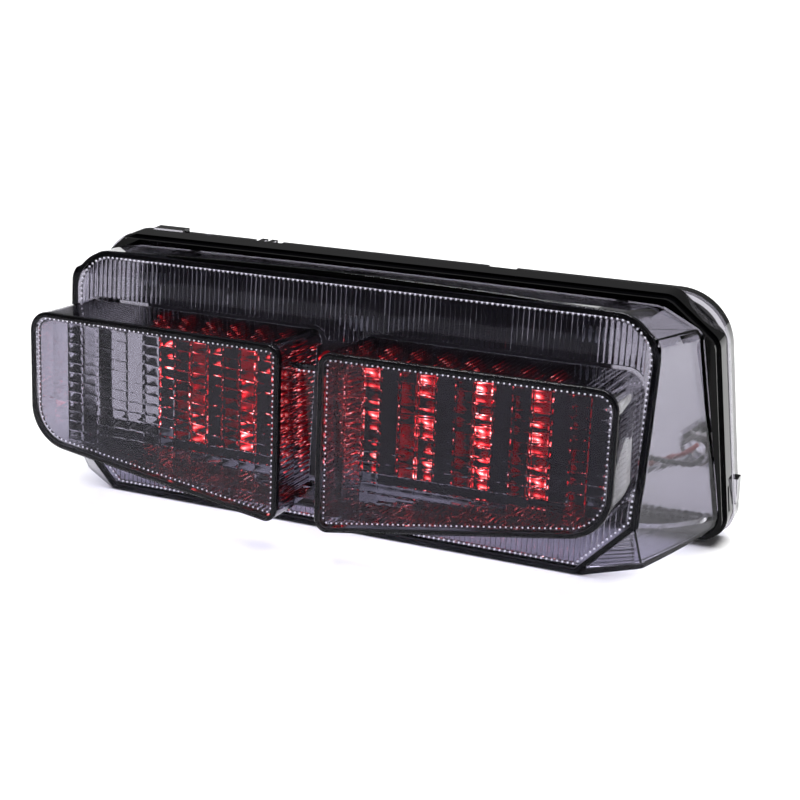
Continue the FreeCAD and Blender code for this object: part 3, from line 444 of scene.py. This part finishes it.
def edges_at(points, x):
    """Upper and lower z of an outline at each x, by interpolation along its upper and lower run."""
    order = np.roll(points, -int(points[:, 0].argmin()), 0)
    split = int(order[:, 0].argmax())
    one, other = order[:split + 1], np.concatenate([order[split:], order[:1]])[::-1]
    runs = []
    for run in (one, other):
        rising = np.maximum.accumulate(run[:, 0]) + np.arange(len(run)) * 1e-9
        runs.append(np.interp(x, rising, run[:, 1]))
    return np.maximum(*runs), np.minimum(*runs)


def panel_plane(z, behind):
    """y of the plane a distance behind the panel's outer face."""
    return PANEL_BASE_Y + z * PANEL_LEAN + behind / math.cos(PANEL_ANGLE)


# The panel's own outline, with the facets' edges cut off its lower corners.
PANEL_FACE = both_sides([(99.0, 85.4, 14.0), (108.6, 76.5, 14.0), (106.16, 18.1, 1.5), (87.86, 0.0, 1.5)])
panel_outline, _ = rounded(moved_in(PANEL_FACE, WALL + 0.9), [12] * 8, [60] * 8)
# Where the box's outside meets the panel: it runs back and down with the slope of its own lean.
box_root, _ = rounded(
    [(x, z - (PANEL_BASE_Y - BOX_FACE_Y + z * PANEL_LEAN - (z - BOX_TOP) * BOX_LEAN) * BOX_LEAN, r)
     for x, z, r in BOX], [12] * 4, [40] * 4)


def flute_strip(name, x, low, high):
    """Strip of flutes between a lower and an upper edge. The front is flat, and the back bulges once
    per flute by a half ellipse, the square root of one less the squared distance from its middle."""
    wave = np.sqrt(np.maximum(1 - (2 * ((x / FLUTE_PITCH) % 1) - 1) ** 2, 0))
    rows = []
    for z, back_face in ((low, False), (high, False), (high, True), (low, True)):
        behind = WALL + AIR + (0.45 + 0.4 * wave if back_face else 0)
        rows.append(at(x, panel_plane(z, behind), z))
    return carried(name, np.stack(rows, 1), False, optic_plastic)


for side, word in ((-1, "left"), (1, "right")):
    x = np.linspace(0.02, FLUTES_TO_X, int(FLUTES_TO_X / FLUTE_PITCH * 8))
    top, bottom = edges_at(panel_outline, x)
    root_top, root_bottom = edges_at(box_root, x)
    root_top = np.where(x < BOX_INNER_X, BLOCK_TOP, root_top) + ROOT_GAP
    root_bottom = np.where(x < BOX_INNER_X, BLOCK_BASE, root_bottom) - ROOT_GAP
    flute_strip("upper_flutes_" + word, side * x, root_top, top)
    flute_strip("lower_flutes_" + word, side * x, bottom, np.maximum(root_bottom, bottom + 0.3))

# --- Pillow optics inside the box faces -----------------------------------------------------------
# Shallow pillows, 6.2 mm wide and 3.4 mm high, spread the light of the LEDs. They are moulded into
# the inside of each box's face.
PILLOW_WIDTH, PILLOW_HEIGHT = 6.2, 3.4
PILLOW_RISE, PILLOW_TWIST, PILLOW_SPREAD = 0.09, 0.03, 0.07
BOX_SWEEP = math.tan(math.radians(1.28))


def face_plane(x, z, behind):
    """y of the plane a distance behind a box's outer face, which leans back and sweeps outwards."""
    swept = (x - BOX_INNER_X) * BOX_SWEEP / math.cos(math.radians(5.5))
    return BOX_FACE_Y + (z - BOX_TOP) * BOX_LEAN + swept + behind


def pillow_face(side, word):
    """Sheet over the inside of a box's face. Its back stands out over each pillow by one less the
    eighth power of the distance from the middle, across times upwards, so that a pillow is nearly
    flat in the middle and falls steeply to the groove between neighbours. The product of the two
    distances adds a slight twist, and a parabola spreads the light sideways."""
    outline, _ = rounded(moved_in(BOX, WALL + 0.5), [10] * 4, [30] * 4)
    x = np.linspace(outline[:, 0].min() + 0.05, outline[:, 0].max() - 0.05, 15 * 14 + 1)
    top, bottom = edges_at(outline, x)
    share = np.linspace(0, 1, 171)
    z = bottom[:, None] + (top - bottom)[:, None] * share
    across = ((x - x[0]) / PILLOW_WIDTH % 1)[:, None] * 2 - 1
    upwards = ((z - BOX_TOP) / PILLOW_HEIGHT % 1) * 2 - 1
    bulge = PILLOW_RISE * (1 - across ** 8) * (1 - upwards ** 8) + PILLOW_TWIST * across * upwards
    bulge += PILLOW_SPREAD * (1 - across ** 2)
    grid_x = np.broadcast_to(x[:, None], z.shape)
    front = at(side * grid_x, face_plane(grid_x, z, WALL + AIR), z)
    rear = at(side * grid_x, face_plane(grid_x, z, WALL + AIR + 0.5) + bulge, z)
    return carried("box_pillows_" + word, np.concatenate([front, rear[:, ::-1]], 1), False,
                   optic_plastic)


for side, word in ((-1, "left"), (1, "right")):
    pillow_face(side, word)

# --- Ribs inside the box walls --------------------------------------------------------------------
# The four walls of each box carry the same ribs as the flared sides, running back from the face.


def box_skin(side, word):
    """Ring inside a box's walls: the box's outline carried from its face back to the panel, sinking
    with the lean, with the inner side standing in by half a cosine wave per rib."""
    corners = moved_in(BOX, WALL + AIR)
    outline, outward = rounded(corners, [14, 14, 20, 14], side_lengths(BOX))
    length = np.concatenate([[0], np.cumsum(np.linalg.norm(np.diff(outline, axis=0), axis=1))])
    turns = round(length[-1] / RIB_PITCH)
    wave = 0.5 - 0.5 * np.cos(2 * np.pi * turns * length / length[-1])
    depth = 0.4 + 0.12 * wave
    front_y = face_plane(outline[:, 0], outline[:, 1], WALL + 1.4)
    rear_y = panel_plane(outline[:, 1], 0.6)
    share = np.linspace(0, 1, 4)[:, None]
    y = front_y + (rear_y - front_y) * share
    sink = (y - (BOX_FACE_Y + (outline[:, 1] - BOX_TOP) * BOX_LEAN)) * BOX_LEAN
    layers = [at(side * (outline[:, 0] - outward[:, 0] * d), y, outline[:, 1] - sink - outward[:, 1] * d)
              for d in (0, depth)]
    loops = np.concatenate([layers[0], layers[1][::-1]]).transpose(1, 0, 2)
    return carried("box_ribs_" + word, loops, True, optic_plastic)


for side, word in ((-1, "left"), (1, "right")):
    box_skin(side, word)

# --- Ribs inside the corner facets ----------------------------------------------------------------
# The two slanted facets under the panel's ends carry level ribs.


def facet_ribs(side, word):
    """Triangular sheet inside a facet, carried from its base up to its tip. Each station is a straight
    line between the facet's two edges, and the inner side stands in by half a cosine wave per rib."""
    normal = np.cross(base_front - up_side, base_side - up_side)
    normal *= np.sign(-normal[2]) / np.linalg.norm(normal)
    height = np.linalg.norm(up_side - (base_front + base_side) / 2)
    share = np.linspace(0.12, 0.82, int(height / RIB_PITCH * 8))[:, None]
    wave = 0.5 - 0.5 * np.cos(2 * np.pi * share * height / RIB_PITCH)
    first = base_front + (up_side - base_front) * share
    second = base_side + (up_side - base_side) * share
    middle = (first + second) / 2
    first, second = first + (middle - first) * 0.25, second + (middle - second) * 0.25
    rows = [edge - normal * (WALL + AIR + depth) for edge, depth in
            ((first, 0.0), (second, 0.0), (second, 0.35 + 0.3 * wave), (first, 0.35 + 0.3 * wave))]
    loops = np.stack([at(side * row[:, 0], row[:, 1], row[:, 2]) for row in rows], 1)
    return carried("facet_ribs_" + word, loops, False, optic_plastic)


for side, word in ((-1, "left"), (1, "right")):
    facet_ribs(side, word)

# --- Edges of the panel and the boxes -------------------------------------------------------------
# Along an edge one looks down the length of the next wall, through 30 mm of smoked plastic, so every edge
# looks nearly black. That dark look is painted shade: an opaque near-black cord, as wide as the wall is
# thick, lies inside the wall along every edge.
painted_edge_shade = moulded("Smoked polycarbonate edge, painted shade", "08080B", "0C0C10", 0.3, 6.0, 0.01, IOR=1.2)
EDGE_FROM, EDGE_TO = 0.35, 1.9


def edge_border(corners, plane, sink):
    """Square cord of painted shade inside the wall along an outline: its four corners are the outline moved
    inwards by two distances, at two depths behind the face. Sink is how far z falls per mm of depth."""
    steps = ([16] * len(corners), [40] * len(corners))
    rows = []
    for inset, behind in ((EDGE_FROM, EDGE_FROM), (EDGE_TO, EDGE_FROM),
                          (EDGE_TO, EDGE_TO), (EDGE_FROM, EDGE_TO)):
        points, _ = rounded(moved_in(corners, inset), *steps)
        rows.append((points, behind))
    return [(points[:, 0], plane(points[:, 0], points[:, 1], behind), points[:, 1] - behind * sink)
            for points, behind in rows]


def lay_border(name, side, rows):
    """The cord from its four rows of corners, on either side of the middle."""
    loops = np.stack([at(side * x, y, z) for x, y, z in rows], 1)
    return carried(name, loops, True, painted_edge_shade)


lay_border("panel_border", 1, edge_border(PANEL_FACE, lambda x, z, behind: panel_plane(z, behind), 0.0))
for side, word in ((-1, "left"), (1, "right")):
    lay_border("box_border_" + word, side, edge_border(BOX, face_plane, BOX_LEAN))

# --- Rib ends -------------------------------------------------------------------------------------
# Each rib ends in a small round tip in the inner corner behind the border. The tips are painted near-white
# with a faint glow, a painted glint that shows as a row of bright dots.
TIP_DEPTH = 0.35


def tips(name, x, y, z, radius):
    """Small balls round given centres: a ball's points by two angles, with one point at each pole."""
    count, rows, columns = len(x), 5, 8
    polar = np.linspace(0, np.pi, rows + 1)[1:-1]
    turn = np.arange(columns) * 2 * np.pi / columns
    grid_polar, grid_turn = np.meshgrid(polar, turn, indexing="ij")
    ball = np.stack([np.sin(grid_polar) * np.cos(grid_turn), np.cos(grid_polar),
                     np.sin(grid_polar) * np.sin(grid_turn)], -1).reshape(-1, 3)
    ball = np.concatenate([ball, [[0, 1, 0], [0, -1, 0]]]) * radius
    centres = at(x, y, z) * 1000
    points = (centres[:, None] + ball).reshape(-1, 3) / 1000
    first = np.arange(columns)
    following = (first + 1) % columns
    sides = [np.stack([r * columns + first, r * columns + following, (r + 1) * columns + following,
                       (r + 1) * columns + first], 1) for r in range(rows - 2)]
    top, low = (rows - 1) * columns, (rows - 1) * columns + 1
    last = (rows - 2) * columns
    near = np.stack([following, first, np.full(columns, top)], 1)
    far = np.stack([last + first, last + following, np.full(columns, low)], 1)
    faces = []
    for number in range(count):
        start = number * len(ball)
        faces += (np.concatenate(sides) + start).tolist() + (near + start).tolist() + (far + start).tolist()
    mesh = bpy.data.meshes.new(name)
    mesh.from_pydata(points.tolist(), [], faces)
    mesh.materials.append(painted_glint_tip)
    piece = bpy.data.objects.new(name, mesh)
    bpy.context.scene.collection.objects.link(piece)
    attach(piece, "root")
    return piece


# Painted glint: the tips are coloured near-white and glow faintly, standing in for small glints of the lamp
# above.
painted_glint_tip = moulded("Smoked polycarbonate tips, painted glint", "E6E4EC", "FFFFFF", 0.15, 1.0, 0.01, IOR=1.585,
                     **{"Emission Color": (0.9, 0.88, 1.0, 1.0), "Emission Strength": 0.6})


def evenly(points, pitch):
    """Points a pitch apart along a closed outline, by interpolation along its length."""
    closed = np.concatenate([points, points[:1]])
    length = np.concatenate([[0], np.cumsum(np.linalg.norm(np.diff(closed, axis=0), axis=1))])
    stops = np.linspace(0, length[-1], int(length[-1] / pitch), endpoint=False)
    return np.interp(stops, length, closed[:, 0]), np.interp(stops, length, closed[:, 1])


inner_edge, _ = rounded(moved_in(PANEL_FACE, WALL + 0.45), [12] * 8, [60] * 8)
x, z = evenly(inner_edge, RIB_PITCH)
tips("panel_tips", x, panel_plane(z, WALL + TIP_DEPTH), z, 0.42)
inner_edge, _ = rounded(moved_in(BOX, WALL + 0.5), [12] * 4, [40] * 4)
x, z = evenly(inner_edge, RIB_PITCH)
for side, word in ((-1, "left"), (1, "right")):
    tips("box_tips_" + word, side * x, face_plane(x, z, WALL + TIP_DEPTH), z, 0.3)
BLOCK_FACE_Y = -70.7
x = np.arange(-5, 5.1, RIB_PITCH)
tips("block_tips", x, np.full(len(x), BLOCK_FACE_Y + WALL + TIP_DEPTH),
     np.full(len(x), BLOCK_TOP - WALL - 0.6), 0.34)

# --- Floor, light and camera ----------------------------------------------------------------------
# A seamless white table under a diffused ceiling and one soft lamp, seen from the front right and a
# little above.
floor_mesh = bpy.data.meshes.new("floor")
floor_mesh.from_pydata([(-40, -40, -0.046), (40, -40, -0.046), (40, 40, -0.046), (-40, 40, -0.046)],
                       [], [(0, 1, 2, 3)])
floor = bpy.data.objects.new("floor", floor_mesh)
bpy.context.scene.collection.objects.link(floor)
floor_mesh.materials.append(moulded("Matt white paper", "F2F2F2", "F6F6F6", 0.9, 2.0, 0.01))

# Pale walls behind the light, and a dim room in front of it.
world = bpy.data.worlds.new("Studio")
world.use_nodes = True
background = world.node_tree.nodes["Background"]
background.inputs["Color"].default_value = (1, 1, 1, 1)
facing = add(world.node_tree, "TexCoord")
backwards = add(world.node_tree, "SeparateXYZ", links={"Vector": (facing, "Generated")})
brightness = add(world.node_tree, "MapRange",
                 {"From Min": -0.35, "From Max": 0.35, "To Min": 0.08, "To Max": 0.16},
                 {"Value": (backwards, "Y")})
world.node_tree.links.new(brightness.outputs["Result"], background.inputs["Strength"])
bpy.context.scene.world = world


def softbox(name, place, aim, width, height, watts):
    """A rectangular soft lamp that points from one place at another."""
    light = bpy.data.lights.new(name, "AREA")
    light.shape = "RECTANGLE"
    light.size, light.size_y, light.energy = width, height, watts
    lamp = bpy.data.objects.new(name, light)
    bpy.context.scene.collection.objects.link(lamp)
    towards = np.array(aim, float) - np.array(place, float)
    lamp.location = place
    lamp.rotation_euler = (math.atan2(math.hypot(towards[0], towards[1]), -towards[2]), 0,
                           math.atan2(towards[1], towards[0]) - math.pi / 2)
    return lamp


softbox("overhead", (0.1, 0.3, 0.9), (0, 0, 0), 1.0, 0.5, 7.0)
# The diffused ceiling lights the whole table evenly.
ceiling_light = bpy.data.lights.new("ceiling", "SUN")
ceiling_light.energy, ceiling_light.angle = 3.6, math.radians(50)
ceiling = bpy.data.objects.new("ceiling", ceiling_light)
bpy.context.scene.collection.objects.link(ceiling)

azimuth, elevation = math.radians(24.148), math.radians(19.416)
right = np.array([math.cos(azimuth), math.sin(azimuth), 0.0])
back = np.array([math.sin(azimuth) * math.cos(elevation), -math.cos(azimuth) * math.cos(elevation),
                 math.sin(elevation)])
up = np.cross(back, right)
camera_place = right * 0.09 + up * 26.996 + back * 598.92
camera_data = bpy.data.cameras.new("camera")
camera_data.lens, camera_data.sensor_width = 72.09, 36.0
camera = bpy.data.objects.new("camera", camera_data)
bpy.context.scene.collection.objects.link(camera)
turned = np.eye(4)
turned[:3, :3] = np.stack([right, up, back], 1)
turned[:3, 3] = (camera_place - (0, 6.0, 46.0)) / 1000
camera.matrix_world = Matrix(turned.tolist())
bpy.context.scene.camera = camera
bpy.context.scene.view_settings.view_transform = "Standard"
